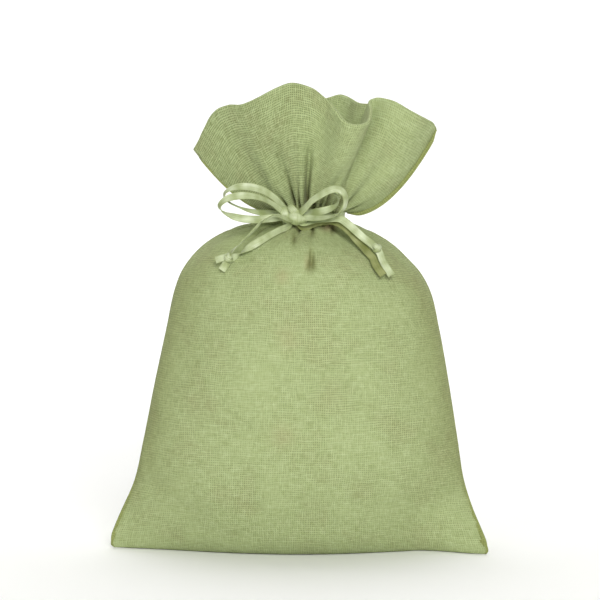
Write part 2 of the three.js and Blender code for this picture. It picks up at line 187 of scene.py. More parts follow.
def gauzeMaterial(name, dimmed=1.0):
    # open plain weave on the cloth's own UVs, which are in metres: u across the panel, v up it
    mat, tree, shader = startMaterial(name)
    flat = addNode(tree, "UVMap", uv_map="cloth").outputs[0]

    # threads wander a little
    drift = addNoise(tree, flat, 95, 3, out="Color")
    centred = addNode(tree, "VectorMath", {0: drift, 1: (0.5, 0.5, 0.5)}, operation="SUBTRACT").outputs[0]
    scaled = addNode(tree, "VectorMath", {0: centred, "Scale": gauze["wander"]}, operation="SCALE").outputs[0]
    wander = addNode(tree, "VectorMath", {0: flat, 1: scaled}, operation="ADD").outputs[0]
    split = addNode(tree, "SeparateXYZ", {0: wander})
    turn = math.pi / gauze["pitch"]
    warpSine = addMath(tree, "SINE", addMath(tree, "MULTIPLY", split.outputs[0], turn))
    weftSine = addMath(tree, "SINE", addMath(tree, "MULTIPLY", split.outputs[1], turn * 0.94))
    over = addMath(tree, "MULTIPLY", warpSine, weftSine)  # which thread is on top

    # slubs: long streaks along each set of threads
    warpStreak = addStreaks(tree, wander, (1400, 250, 1), 2.5, 0.65)
    weftStreak = addStreaks(tree, wander, (210, 1300, 1), 2.5, 0.65)
    warpWide = addStreaks(tree, wander, (260, 30, 1), 2.0, 0.6)
    weftWide = addStreaks(tree, wander, (26, 240, 1), 2.0, 0.6)
    cloudy = addNoise(tree, flat, 42, 3.0, 0.6)

    bodies = []
    for sine, streak in ((warpSine, warpStreak), (weftSine, weftStreak)):
        rounded = addMath(tree, "POWER", addMath(tree, "ABSOLUTE", sine), 0.7)
        bodies.append(addMath(tree, "MULTIPLY", rounded, addMath(tree, "ADD", streak, 0.45)))
    cover = addMath(tree, "MAXIMUM", *bodies)
    height = addMath(tree, "MULTIPLY_ADD", over, 0.22, cover)

    streaks = addMath(tree, "ADD", warpStreak, weftStreak)
    wideStreaks = addMath(tree, "MULTIPLY", addMath(tree, "ADD", warpWide, weftWide), 0.09)
    tone = addMath(tree, "MULTIPLY_ADD", streaks, 0.5, wideStreaks)
    thread, slub = (tuple(c * dimmed for c in gauze[key]) for key in ("thread", "slub"))
    colour = addRamp(tree, tone, (0.41, thread), (0.77, slub))

    # dark gaps, more of them where the cloth is sheer
    openness = addMath(tree, "MULTIPLY", addAttribute(tree, "open"), 0.9)
    sheer = addMath(tree, "ADD", addMath(tree, "MULTIPLY_ADD", cloudy, 2.6, -0.35), openness)
    gaps = addMath(tree, "MULTIPLY", addMath(tree, "SUBTRACT", 1.02, cover, clamp=True), sheer, clamp=True)
    colour = mixColour(tree, "MIX", gaps, colour, gauze["gap"])
    colour = mixColour(tree, "MIX", addMath(tree, "SUBTRACT", cloudy, 0.5, clamp=True), colour, gauze["warm"])

    # painted light and shade from the cloth's shape: darker where it turns away, a reddish-brown tint that is
    # partly warm shade, and painted shade in the folds
    turned = addMath(tree, "SUBTRACT", 1.0, addAttribute(tree, "painted_light"), clamp=True)
    colour = mixColour(tree, "MULTIPLY", turned, colour, gauze["turned"])
    fibres = addMath(tree, "ADD", warpStreak, 0.3)
    tint_and_shade_mix = addMath(tree, "MULTIPLY", addAttribute(tree, "tint_and_warm_shade"), fibres, clamp=True)
    colour = mixColour(tree, "MIX", tint_and_shade_mix, colour, gauze["tint_and_warm_shade"])
    fold_shade_mix = addMath(tree, "MULTIPLY", addAttribute(tree, "fold_shade"), 0.75, clamp=True)
    colour = mixColour(tree, "MIX", fold_shade_mix, colour, gauze["fold_shade"])
    finishShader(tree, shader, height, gauze["bump"], gauze["relief"], {
        "Base Color": colour,
        "Roughness": addMath(tree, "MULTIPLY_ADD", cover, -0.12, 0.98),
        "Specular IOR Level": 0.25,
        "Sheen Weight": 0.12,
        "Sheen Roughness": 0.55,
        "Sheen Tint": (0.85, 0.92, 0.7),
    })
    return mat


satin = {
    "face": (0.57, 0.64, 0.40),
    "shade": (0.29, 0.345, 0.14),
    "edge": (0.34, 0.40, 0.18),
    "rib": 0.00022,
    "selvage": 0.00122,  # how far from the middle the edge starts
}


def satinMaterial(name, dimmed=(1, 1, 1), shine=1.0):
    # UVs in metres: u across the ribbon from its middle, v along it
    mat, tree, shader = startMaterial(name)
    flat = addNode(tree, "UVMap", uv_map="ribbon").outputs[0]
    split = addNode(tree, "SeparateXYZ", {0: flat})
    # painted highlight and shade: noise streaks and bands along the ribbon swing its colour between the
    # bright face colour and the dark shade colour
    along = addStreaks(tree, flat, (5200, 90, 1), 2.0, 0.6)
    painted_sheen_bands = addStreaks(tree, flat, (30, 170, 1), 1.0, 0.5)
    cloudy = addMath(tree, "MULTIPLY", addNoise(tree, flat, 260), 0.35)
    tone = addMath(tree, "MULTIPLY_ADD", along, 0.55, cloudy)
    tone = addMath(tree, "MULTIPLY_ADD", painted_sheen_bands, 0.9, addMath(tree, "SUBTRACT", tone, 0.37))
    tones = [tuple(c * d for c, d in zip(satin[key], dimmed)) for key in ("face", "shade", "edge")]
    face, shade, border = tones
    colour = addRamp(tree, tone, (0.36, shade), (0.72, face))
    away = addMath(tree, "ABSOLUTE", split.outputs[0])
    selvage = addMath(tree, "MULTIPLY", addMath(tree, "SUBTRACT", away, satin["selvage"]), 3200, clamp=True)
    ribs = addMath(tree, "SINE", addMath(tree, "MULTIPLY", split.outputs[1], math.pi / satin["rib"]))
    height = addMath(tree, "MULTIPLY_ADD", ribs, 0.25, addMath(tree, "MULTIPLY", along, 1.2))
    finishShader(tree, shader, height, 0.18, 0.0001, {
        "Base Color": mixColour(tree, "MIX", selvage, colour, border),
        "Roughness": addMath(tree, "MULTIPLY_ADD", along, 0.22, 0.28),
        "Anisotropic": 0.4,
        "Specular IOR Level": 0.55 * shine,
        "Sheen Weight": 0.15 * shine,
        "Sheen Roughness": 0.35,
        "Sheen Tint": (0.9, 0.95, 0.78),
    })
    return mat


def threadMaterial(name):
    mat, tree, shader = startMaterial(name)
    fibres = addStreaks(tree, addNode(tree, "TexCoord").outputs["Object"], (2600, 2600, 5200), 2.0, 0.6)
    finishShader(tree, shader, fibres, 0.4, 0.0001, {
        "Base Color": addRamp(tree, fibres, (0.3, (0.36, 0.42, 0.19)), (0.7, (0.55, 0.62, 0.36))),
        "Roughness": addMath(tree, "MULTIPLY_ADD", fibres, 0.2, 0.65),
    })
    return mat


clothMat = gauzeMaterial("sage_gauze")
# a slightly darker copy of the cloth for the seams, painted shade; as they carry no attribute for painted
# light, they also take the full turned-away shade
shadedSeamMat = gauzeMaterial("sage_gauze_seam_shaded", 0.95)
ribbonMat = satinMaterial("sage_satin")
shadedRibbonMat = satinMaterial("sage_satin_shaded", (0.55, 0.53, 0.36), 0.2)  # a darker, less shiny copy of the satin: painted shade for the tail lying in the shade of the bright one
stitchMat = threadMaterial("sage_thread")
print("materials made")


# ---- curves and grids ----

def catmull(points, count):
    # a smooth line through the points, evenly spaced along its length
    pts = np.array(points, float)
    padded = np.vstack([2 * pts[0] - pts[1], pts, 2 * pts[-1] - pts[-2]])
    fine = []
    for i in range(1, len(padded) - 2):
        a, b, c, d = padded[i - 1:i + 3]
        for t in np.linspace(0, 1, 24, endpoint=False):
            squared, cubed = (2 * a - 5 * b + 4 * c - d) * t ** 2, (3 * b - a - 3 * c + d) * t ** 3
            fine.append(0.5 * (2 * b + (c - a) * t + squared + cubed))
    fine.append(pts[-1])
    return evenly(np.array(fine), count)


def reachAlong(line):
    # how far along the line each of its points is
    return np.concatenate([[0], np.cumsum(np.linalg.norm(np.diff(line, axis=0), axis=1))])


def unit(vectors):
    return vectors / np.maximum(np.linalg.norm(vectors, axis=-1, keepdims=True), 1e-12)


def evenly(line, count, extra=None):
    reach = reachAlong(line)
    places = np.linspace(0, reach[-1], count)
    if extra is not None:
        line = np.column_stack([line, extra])
    return np.stack([np.interp(places, reach, line[:, k]) for k in range(line.shape[1])], axis=1)


def lineLength(line):
    return float(np.linalg.norm(np.diff(line, axis=0), axis=1).sum())


def hermite(places, values, where):
    # smooth and without overshoot where the values turn
    places, values = np.array(places, float), np.array(values, float)
    slopes = np.diff(values) / np.diff(places)
    tangents = np.concatenate([[slopes[0]], (slopes[:-1] + slopes[1:]) / 2, [slopes[-1]]])
    for i, (before, after) in enumerate(zip(slopes[:-1], slopes[1:])):
        if before * after <= 0:
            tangents[i + 1] = 0
    where = np.clip(where, places[0], places[-1])
    i = np.clip(np.searchsorted(places, where) - 1, 0, len(places) - 2)
    run = places[i + 1] - places[i]
    t = (where - places[i]) / run
    return (
        values[i] * (2 * t ** 3 - 3 * t ** 2 + 1)
        + values[i + 1] * (3 * t ** 2 - 2 * t ** 3)
        + run * (tangents[i] * (t ** 3 - 2 * t ** 2 + t) + tangents[i + 1] * (t ** 3 - t ** 2))
    )


def gridNormals(grid):
    return unit(np.cross(np.gradient(grid, axis=1), np.gradient(grid, axis=0)))


def fieldNoise(grid, scale, seed):
    out = np.zeros(grid.shape[:2])
    for r in range(grid.shape[0]):
        for c in range(grid.shape[1]):
            p = grid[r, c] / scale
            out[r, c] = noise.noise(Vector((p[0] + seed * 17.3, p[1] - seed * 5.1, p[2] + seed * 9.7)))
    return out


def smoothstep(low, high, x):
    t = np.clip((x - low) / (high - low), 0, 1)
    return t * t * (3 - 2 * t)


# ---- the cloth of the sack ----

# level lines of the filled body, in millimetres: height, left edge, right edge, depth to the front and to
# the back, and how sharply the section closes at the sides
bodyLevels = [
    (0, -73.5, 73, 15.5, 21, 3.2),
    (1.6, -75, 73.8, 18.5, 24, 3.1),
    (5, -74.6, 73, 22, 26.3, 2.8),
    (10, -73, 71.2, 25, 28, 2.5),
    (17, -70.4, 68.6, 27.8, 29.3, 2),
    (27, -66.6, 65.9, 31, 31, 1.45),
    (43, -63, 63.4, 32.8, 32.8, 1.08),
    (67, -58.2, 59.6, 35.4, 35.6, 1),
    (90, -53.2, 55.4, 37.4, 37.6, 1),
    (104, -50.2, 52, 36.9, 37.1, 1),
    (112, -47.2, 47.6, 34.6, 34.9, 1),
    (117.6, -43.4, 42.4, 31.8, 32.2, 1),
    (120.6, -40.6, 39.4, 29.4, 29.8, 1),
    (123.4, -37.4, 36, 26.6, 27, 1),
    (126.2, -33, 31.6, 23, 23.4, 1),
    (128.6, -28.2, 27, 19.4, 19.8, 1),
    (130.2, -24.4, 23.8, 17, 17.2, 1),
    (131.3, -19.6, 21.2, 15.2, 15.3, 1),
    (132.1, -13.4, 19.4, 13.9, 13.9, 1),
    (132.8, -8.4, 18.2, 13.1, 13.1, 1),
]

# the rim of the ruffle as it runs from the left seam to the right one, in millimetres from the tie
frontRim = [
    (-47.4, -0.2, 26.4), (-43.2, -5.5, 34.2), (-39, -9.5, 41), (-33.6, -13.5, 43.6), (-28, -18, 44),
    (-20.4, -22.5, 47), (-13, -25, 50.6), (-7.6, -25.5, 52), (0, -23, 50), (5, -22, 46),
    (8.4, -24.5, 41.6), (12.2, -28, 37), (17, -28.5, 35.6), (21.8, -25, 37), (23.2, -18.5, 41.4),
    (23, -12.5, 45.4), (25.6, -12.5, 46.9), (32.6, -15.5, 44.8), (41.8, -11.5, 39.8), (47.6, -4.5, 37),
    (49.4, -0.2, 34.8),
]
backRim = [
    (-47.4, 0.2, 26.4), (-44.5, 6.5, 32), (-37, 12.5, 38), (-31, 12, 41), (-25.5, 18.5, 42),
    (-18, 25.5, 42.4), (-11, 23, 44), (-5.5, 17, 45.6), (0.5, 20.5, 47), (6, 27, 47.4), (12, 28.5, 48.6),
    (16.5, 23.5, 46.6), (19.5, 16.5, 45), (24.5, 15, 44.6), (29.5, 20.5, 42.6), (35.5, 22, 40.6),
    (40.5, 14.5, 39), (46, 7.5, 36.4), (49.4, 0.2, 34.8),
]

cloth = {
    "panelWidth": 150.0,
    "cutLength": 262.0,  # bottom seam to rim and back down to the channel
    "columns": 136,
    "fine": 760,  # points of a row before it is spaced evenly
    "baseRows": 14,
    "bodyRows": 124,
    "ruffleRows": 48,
    "firstLinedRow": 6,  # how far down the ruffle its turned-in layer reaches
    "neckRadius": 12.8,
    "neckLow": 133.2,  # the straight band that the ribbon is drawn round
    "neckTop": 135.7,
    "thickness": 0.42,
    "rimRadius": 0.55,
    "rimThroat": 0.9,
    "unevenness": 1.0,
    "lift": 0.25,  # the cloth's outer face stands this far above the floor
    "fullFold": 3.5,  # a fold this deep gets the darkest painted shade
}

# where the ruffle bends on its way from the tie to the rim, as shares of that way
flare = {
    "reach": 0.28,
    "seamReach": 0.13,  # further out at the seams
    "rightReach": 0.06,  # and a little more on the right
    "lift": 0.34,
    "seamDrop": 0.43,  # lower at the seams
}

# gathers at the neck of the back (1) and the front (-1): where each falls across the panel, how deep it
# goes, its width as a share of the panel, and how far it runs down the shoulder and up the ruffle
gathers = {
    -1: [
        (0.055, 7, 0.013, 3, 5), (0.135, 8, 0.015, 4.5, 8), (0.215, 8.5, 0.014, 3, 6),
        (0.3, 8.5, 0.013, 6.5, 9), (0.365, 7, 0.011, 2.5, 6), (0.43, 8, 0.013, 3, 9),
        (0.5, 8.5, 0.013, 5.5, 5), (0.565, 7, 0.012, 2.5, 7), (0.63, 8, 0.012, 3.2, 9),
        (0.7, 9, 0.015, 4.4, 5), (0.775, 8, 0.014, 3.4, 8), (0.86, 8.5, 0.015, 4, 6),
        (0.94, 7, 0.013, 3, 5),
    ],
    1: [
        (0.06, 7, 0.013, 3, 5), (0.15, 8.5, 0.015, 6, 8), (0.22, 7.5, 0.013, 3, 6),
        (0.31, 8.5, 0.014, 4.2, 12), (0.39, 8, 0.013, 9, 6), (0.46, 7.5, 0.013, 3, 9),
        (0.54, 8.5, 0.014, 5, 14), (0.61, 8, 0.012, 3.2, 6), (0.69, 8.5, 0.015, 7, 8),
        (0.78, 8, 0.014, 3.4, 12), (0.86, 8, 0.013, 5, 6), (0.94, 7, 0.013, 3, 5),
    ],
}

# soft folds that run on from the gathers over the shoulder: place, lean, depth, width and run
shoulderFolds = {
    -1: [
        (0.13, -0.0006, 1, 0.045, 30), (0.285, 0.0008, 0.9, 0.03, 24), (0.375, 0, -0.6, 0.03, 20),
        (0.485, 0.0004, 1.5, 0.014, 22), (0.535, 0.001, 0.9, 0.03, 40), (0.62, 0, -0.5, 0.03, 18),
        (0.715, -0.0006, 1.2, 0.03, 20), (0.86, 0.0006, 1.1, 0.04, 28),
    ],
    1: [
        (0.14, 0, 1.1, 0.04, 30), (0.26, 0, 1.2, 0.025, 22), (0.4, 0.0005, 1.6, 0.025, 34),
        (0.52, 0, 0.9, 0.02, 20), (0.66, -0.0008, 1.5, 0.028, 30), (0.82, 0, 1.1, 0.04, 26),
    ],
}

# pinches in the front of the shoulder: place right and up, half width, half height, depth
pinches = [
    (4.2, 116, 1.5, 2.2, 3.8), (4.5, 119.6, 0.9, 2.6, 2.2), (3.4, 124, 1.1, 7, -0.9),
    (4.9, 128.8, 0.6, 2.2, 3.2), (-2.3, 125.6, 0.6, 1.9, 2.8), (12.7, 129.6, 0.6, 1.9, 3.4),
    (-59, 27, 6, 3.4, 1.6), (-50, 18, 8, 4, 1), (59, 22, 6, 3.4, 1.5),
]

# places where the cloth takes a reddish-brown tint, the strongest two painted warm shade at the neck under
# the bow and knot: place right and up, half width, half height, amount
tints_and_warm_shade = [
    (11.2, 130.6, 3, 1.5, 0.9), (0.5, 131, 3, 1.2, 0.5), (-6.8, 112, 2.6, 3, 0.35),
    (2.6, 117.5, 1, 3, 0.3), (-5, 88, 4, 5, 0.2), (-6.5, 50, 5, 5, 0.2),
]

# radial folds of the ruffle: place across the panel, lean, depth, width, and from where to where up it
ruffleFolds = {
    -1: [
        (0.3, -0.05, 2.4, 0.05, 0.02, 0.85), (0.395, 0, -1.3, 0.022, 0.02, 0.8),
        (0.438, 0.01, 3, 0.013, 0.05, 0.74), (0.6, 0.02, 1.6, 0.03, 0, 0.7),
        (0.17, -0.02, 1.2, 0.035, 0, 0.9), (0.86, 0.02, 1.8, 0.04, 0, 0.9),
    ],
    1: [
        (0.2, 0, 1.8, 0.04, 0, 0.9), (0.47, 0.02, 2.6, 0.03, 0, 0.8), (0.72, 0, 2, 0.035, 0, 0.9),
    ],
}


seamHalf = 0.12  # half the gap between the two cloths at a seam, in millimetres


def levelSection(height, turn, side):
    neckX, radius = tiePoint.x / mm, cloth["neckRadius"]
    top = (cloth["neckLow"], neckX - radius, neckX + radius, radius, radius, 1.0)
    z, left, right, front, back, closing = np.array(bodyLevels + [top]).T
    sizes = (left, right, front if side < 0 else back, closing)
    a, b, depth, power = (float(hermite(z, size, height)) for size in sizes)
    x = (a + b) / 2 - (b - a) / 2 * np.cos(turn)
    y = side * (seamHalf + (depth - seamHalf) * np.maximum(np.sin(turn), 0) ** power)
    return np.stack([x, y, np.full_like(turn, height)], axis=1)


def outwards(grid, side):
    normals = gridNormals(grid) * (1 if side < 0 else -1)
    across = np.linspace(0, 1, grid.shape[1])
    normals[:, :, 1] *= smoothstep(0, 0.02, np.minimum(across, 1 - across))
    return unit(normals)


def ridge(across, at, lean, width, away):
    offset = across[None, :] - (at + lean * away)[:, None]
    return np.exp(-((offset / width) ** 2))


def valleys(folds, away, across):
    # folds as place across, lean, depth, width and run
    inward = np.zeros((len(away), len(across)))
    for at, lean, depth, width, run in folds:
        fade = np.exp(-((away / run) ** 1.25))
        inward += depth * fade[:, None] * ridge(across, at, lean, width, away)
    return inward


def spot(grid, x, z, wide, tall):
    return np.exp(-(((grid[..., 0] - x) / wide) ** 2) - (((grid[..., 2] - z) / tall) ** 2))


def clothGrid(side):
    turn = np.linspace(0, math.pi, cloth["fine"])
    across = np.linspace(0, 1, cloth["fine"])
    centre = np.array([tiePoint.x / mm, 0, tiePoint.z / mm])
    # the base, from the bottom seam out along the floor
    floorLine = levelSection(0.0, turn, side)
    rows = []
    for share in np.linspace(0, 1, cloth["baseRows"])[:-1]:
        row = floorLine.copy()
        row[:, 1] = side * seamHalf + (floorLine[:, 1] - side * seamHalf) * share
        rows.append(row)
    # the body, in rows evenly spaced up the middle of the panel
    heights = np.linspace(0, cloth["neckLow"], 900)
    middle = np.array([levelSection(h, np.array([math.pi / 2]), side)[0, 1:] for h in heights])
    for h in evenly(np.column_stack([middle, heights]), cloth["bodyRows"])[:, 2]:
        rows.append(levelSection(h, turn, side))
    marks = {"neck": len(rows)}
    body = np.array(rows)
    middleLine = body[:, cloth["fine"] // 2, :]
    path = reachAlong(middleLine)
    away = path[-1] - path
    normals = outwards(body, side)
    down = [(at, 0, depth, width, run) for at, depth, width, run, _ in gathers[side]]
    inward = valleys(down, away, across)
    # how deep the gathers go, kept as painted shade in the folds
    deep = inward.copy()
    inward += valleys(shoulderFolds[side], away, across) * smoothstep(0.5, 5, away)[:, None]
    body = body - normals * inward[:, :, None]
    if side < 0:
        for x, z, wide, tall, depth in pinches:
            shape = depth * spot(body, x, z, wide, tall)
            body[:, :, 1] += shape
            # painted shade in the pinch hollows, strong in the narrow ones
            deep += np.maximum(shape, 0) * (0.8 if wide < 3 else 0.08)
    body[:, :, 2] = np.maximum(body[:, :, 2], cloth["lift"])
    rows = list(body)
    folds = list(deep)
    # the band under the ribbon
    for share in np.linspace(0, 1, 6)[1:]:
        row = body[-1].copy()
        row[:, 2] += (cloth["neckTop"] - cloth["neckLow"]) * share
        rows.append(row)
        folds.append(deep[-1])
    marks["ruffle"] = len(rows)
    # the ruffle opens out to its rim
    ring = levelSection(cloth["neckLow"], turn, side)
    ring[:, 2] = cloth["neckTop"]
    rim = catmull(frontRim if side < 0 else backRim, cloth["fine"]) + centre
    edge = np.abs(2 * across - 1) ** 2.2
    right = smoothstep(0.3, 0.7, across)
    reach = flare["reach"] + edge * (flare["seamReach"] + flare["rightReach"] * right)
    lift = flare["lift"] - edge * flare["seamDrop"]
    bend = ring + (rim - ring) * reach[:, None]
    bend[:, 2] = ring[:, 2] + (rim[:, 2] - ring[:, 2]) * lift
    shares = np.concatenate([np.linspace(0, 0.12, 9)[1:], np.linspace(0.12, 1, cloth["ruffleRows"])[1:]])
    ruffle = np.array([ring * (1 - t) ** 2 + bend * 2 * t * (1 - t) + rim * t ** 2 for t in shares])
    normals = outwards(ruffle, side)
    climb = np.linalg.norm(rim - ring, axis=1).mean() * shares
    up = [(at, 0, depth, width, run) for at, depth, width, _, run in gathers[side]]
    inward = valleys(up, climb, across)
    # how deep the ruffle's gathers go, kept as painted shade in the folds
    deep = inward.copy()
    for at, lean, depth, width, low, high in ruffleFolds[side]:
        span = smoothstep(low, low + 0.12, shares) * (1 - smoothstep(high - 0.3, high, shares))
        inward += depth * span[:, None] * ridge(across, at, lean, width, shares)
    ruffle = ruffle - normals * inward[:, :, None]
    rows.extend(ruffle)
    folds.extend(deep)
    marks["rim"] = len(rows)
    # over the rim and down again inside, as the turned-in layer
    normals = outwards(ruffle, side)
    edgeFade = smoothstep(0, 0.03, np.minimum(across, 1 - across))[:, None]
    rise = unit(ruffle[-1] - ruffle[-2])
    radius = cloth["rimRadius"]
    for angle in np.radians([45, 90, 135]):
        inwards = radius * (1 - math.cos(angle)) * (0.3 + 0.7 * edgeFade)
        rows.append(ruffle[-1] + rise * radius * math.sin(angle) - normals[-1] * inwards)
        folds.append(deep[-1])
    throat = 2 * radius + cloth["rimThroat"] * np.sin(np.pi * shares) ** 0.7
    for i in range(len(shares) - 1, cloth["firstLinedRow"] - 1, -1):
        rows.append(ruffle[i] - normals[i] * throat[i] * (0.45 + 0.55 * edgeFade))
        folds.append(deep[i])
    grid, shade = [], []
    for row, fold_shade in zip(rows, folds):
        both = evenly(row, cloth["columns"], fold_shade)
        grid.append(both[:, :3])
        shade.append(both[:, 3])
    return np.array(grid), np.clip(np.array(shade) / cloth["fullFold"], 0, 1), marks


def wrinkle(grid, side, marks):
    # soft hand-made unevenness, none of it at the seams or where the sack stands
    normals = outwards(grid, side)
    coarse = fieldNoise(grid, 34.0, 1 + side)
    medium = fieldNoise(grid, 15.0, 4 + side)
    small = fieldNoise(grid, 6.0, 7 + side)
    columns = np.linspace(0, 1, grid.shape[1])
    hold = smoothstep(0, 0.05, columns) * smoothstep(0, 0.05, 1 - columns)
    rows = np.arange(grid.shape[0])
    calm = np.ones(grid.shape[0])
    calm[:marks["neck"]] = smoothstep(2.0, 14.0, grid[:marks["neck"], grid.shape[1] // 2, 2])
    calm *= 1 - 0.85 * np.exp(-(((rows - marks["neck"] - 3) / 9.0) ** 2))
    amount = (0.9 * coarse + 0.45 * medium + 0.16 * small) * hold[None, :] * calm[:, None]
    return grid + normals * amount[:, :, None] * cloth["unevenness"]


corners = {
    "height": 34.0,
    "leftOut": 1.5,
    "rightOut": 1.1,
    "rightForward": 16.0,
}


def cornersOut(points):
    # the lower corners reach out to the sides, and the right one forwards too
    low = 1 - smoothstep(2.0, corners["height"], points[..., 2])
    moved = points.copy()
    right = smoothstep(45, 76, points[..., 0]) * low
    left = smoothstep(45, 76, -points[..., 0]) * low
    moved[..., 0] += corners["rightOut"] * right - corners["leftOut"] * left
    moved[..., 1] -= corners["rightForward"] * right
    return moved


def linkPiece(name, mesh, material):
    mesh.materials.append(material)
    piece = bpy.data.objects.new(name, mesh)
    bpy.context.scene.collection.objects.link(piece)
    return piece


def gridMesh(name, grid, uvWidth, flip=False, attributes=()):
    rows, columns = grid.shape[:2]
    mesh = bpy.data.meshes.new(name)
    index = np.arange(rows * columns).reshape(rows, columns)
    a, b, c, d = index[:-1, :-1], index[:-1, 1:], index[1:, 1:], index[1:, :-1]
    quads = np.stack([a, b, c, d] if not flip else [a, d, c, b], axis=-1).reshape(-1, 4)
    mesh.from_pydata((grid.reshape(-1, 3) * mm).tolist(), [], quads.tolist())
    lengths = np.linalg.norm(np.diff(grid, axis=0), axis=2).mean(axis=1)
    v = np.concatenate([[0], np.cumsum(lengths)]) * mm
    u = np.linspace(0, uvWidth, columns)
    layer = mesh.uv_layers.new(name="cloth")
    loops = np.zeros(len(mesh.loops), int)
    mesh.loops.foreach_get("vertex_index", loops)
    uv = np.stack([u[loops % columns], v[loops // columns]], axis=1)
    layer.data.foreach_set("uv", uv.ravel())
    for attribute, values in dict(attributes).items():
        data = mesh.attributes.new(attribute, "FLOAT", "POINT").data
        data.foreach_set("value", values.ravel().astype(np.float32))
    mesh.polygons.foreach_set("use_smooth", [True] * len(mesh.polygons))
    return linkPiece(name, mesh, clothMat)


def choose(piece):
    bpy.ops.object.select_all(action="DESELECT")
    bpy.context.view_layer.objects.active = piece
    piece.select_set(True)


def applyModifiers(piece):
    choose(piece)
    for modifier in list(piece.modifiers):
        bpy.ops.object.modifier_apply(modifier=modifier.name)
    piece.select_set(False)


def thicken(piece, thickness):
    solid = piece.modifiers.new("thickness", "SOLIDIFY")
    solid.thickness = thickness * mm
    solid.offset = -1
    applyModifiers(piece)


def clothHalf(name, side):
    grid, shade, marks = clothGrid(side)
    grid = cornersOut(wrinkle(grid, side, marks))
    normals = outwards(grid, side)
    # painted light and shade: cloth facing the front and up keeps its colour, cloth turning away is darkened,
    # the band at the neck under the ruffle is darkened more, and the ruffle is lightened
    facing = np.sqrt(normals[:, :, 1] ** 2 + 0.6 * normals[:, :, 2] ** 2)
    painted_light = smoothstep(0.15, 1.0, facing)
    rows = np.arange(len(grid))[:, None]
    painted_light *= 1 - 0.3 * np.exp(-(((rows - marks["neck"]) / 8.0) ** 2))
    above = smoothstep(marks["neck"], marks["neck"] + 16, rows)
    painted_light += above * (0.5 - 0.2 * painted_light)
    tint_and_warm_shade = np.zeros_like(shade)
    for x, z, wide, tall, amount in tints_and_warm_shade if side < 0 else []:
        tint_and_warm_shade += amount * spot(grid, x, z, wide, tall)
    opened = above * smoothstep(0.75, 0.35, np.linspace(0, 1, grid.shape[1]))[None, :]
    attributes = {"fold_shade": shade, "painted_light": painted_light, "tint_and_warm_shade": tint_and_warm_shade, "open": opened * np.ones_like(shade)}
    piece = gridMesh(name, grid, cloth["panelWidth"] * mm, side > 0, attributes)
    thicken(piece, cloth["thickness"])
    return piece, grid, marks


frontCloth, frontGrid, marks = clothHalf("front_cloth", -1)
backCloth, backGrid, _ = clothHalf("back_cloth", 1)
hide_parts("front_panel", "channel_front", "front_ruffle")
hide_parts("back_panel", "channel_back", "back_ruffle")
print("cloth made", len(frontCloth.data.polygons))


# ---- swept bands: ribbon and seams ----

def steadyDirections(line, tilts):
    # the direction of the band's width along the line, turned smoothly through the given ones
    along = unit(np.gradient(line, axis=0))
    places = np.linspace(0, 1, len(line))
    at = np.linspace(0, 1, len(tilts))
    across = np.stack([np.interp(places, at, [t[k] for t in tilts]) for k in range(3)], axis=1)
    kernel = np.hanning(9) / np.hanning(9).sum()
    padded = np.pad(across, ((4, 4), (0, 0)), mode="edge")
    across = np.stack([np.convolve(padded[:, k], kernel, mode="valid") for k in range(3)], axis=1)
    across = unit(across - (across * along).sum(axis=1, keepdims=True) * along)
    return across, np.cross(along, across)


def sweepBand(name, line, across, up, width, thickness, curl, uvName, material, ripple=0.0):
    # line in millimetres of the shared frame
    count = len(line)
    section = []
    for face in (1, -1):
        for u in np.linspace(-face, face, 9):
            section.append((u, face * thickness / 2 * (1 - 0.45 * abs(u) ** 6)))
    n = len(section)
    reach = reachAlong(line)
    widths = np.broadcast_to(width, (count,))
    rings = np.zeros((count, n, 3))
    for k, (u, h) in enumerate(section):
        lift = h + curl * (1 - u ** 2) + ripple * np.sin(reach / 1.9 + 1.7 * u) * np.sin(reach / 4.3)
        rings[:, k] = line + across * (u * widths / 2)[:, None] + up * lift[:, None]
    faces = []
    for i in range(0, (count - 1) * n, n):
        for k in range(n):
            after = (k + 1) % n
            faces.append((i + k, i + after, i + n + after, i + n + k))
    faces.append(tuple(range(n - 1, -1, -1)))
    faces.append(tuple((count - 1) * n + k for k in range(n)))
    mesh = bpy.data.meshes.new(name)
    mesh.from_pydata((rings.reshape(-1, 3) * mm).tolist(), [], faces)
    layer = mesh.uv_layers.new(name=uvName)
    for loop in mesh.loops:
        i, k = divmod(loop.vertex_index, n)
        layer.data[loop.index].uv = (section[k][0] * widths[i] / 2 * mm, reach[i] * mm)
    work = bmesh.new()
    work.from_mesh(mesh)
    bmesh.ops.recalc_face_normals(work, faces=work.faces)
    work.to_mesh(mesh)
    work.free()
    piece = linkPiece(name, mesh, material)
    choose(piece)
    bpy.ops.object.shade_smooth_by_angle(angle=math.radians(55))
    piece.select_set(False)
    return piece


# ---- seams, lining and stitches ----

seams = {
    "welt": 0.3,  # how far the seam stands out of the cloth
    "rightRuffleWelt": 1.5,
    "thickness": 0.8,
    "tuckedIn": 0.7,  # how far the seam's band reaches into the cloth
    "allowance": 5.0,
    "stitchLength": 2.1,
    "stitchGap": 0.9,
    "stitchRadius": 0.17,
    "lowerStitches": 131.2,  # height of the row under the tie
}
clothBends = []  # pieces on the ruffle, baked in place with the cloth
stayPut = []  # pieces that stay with the sack


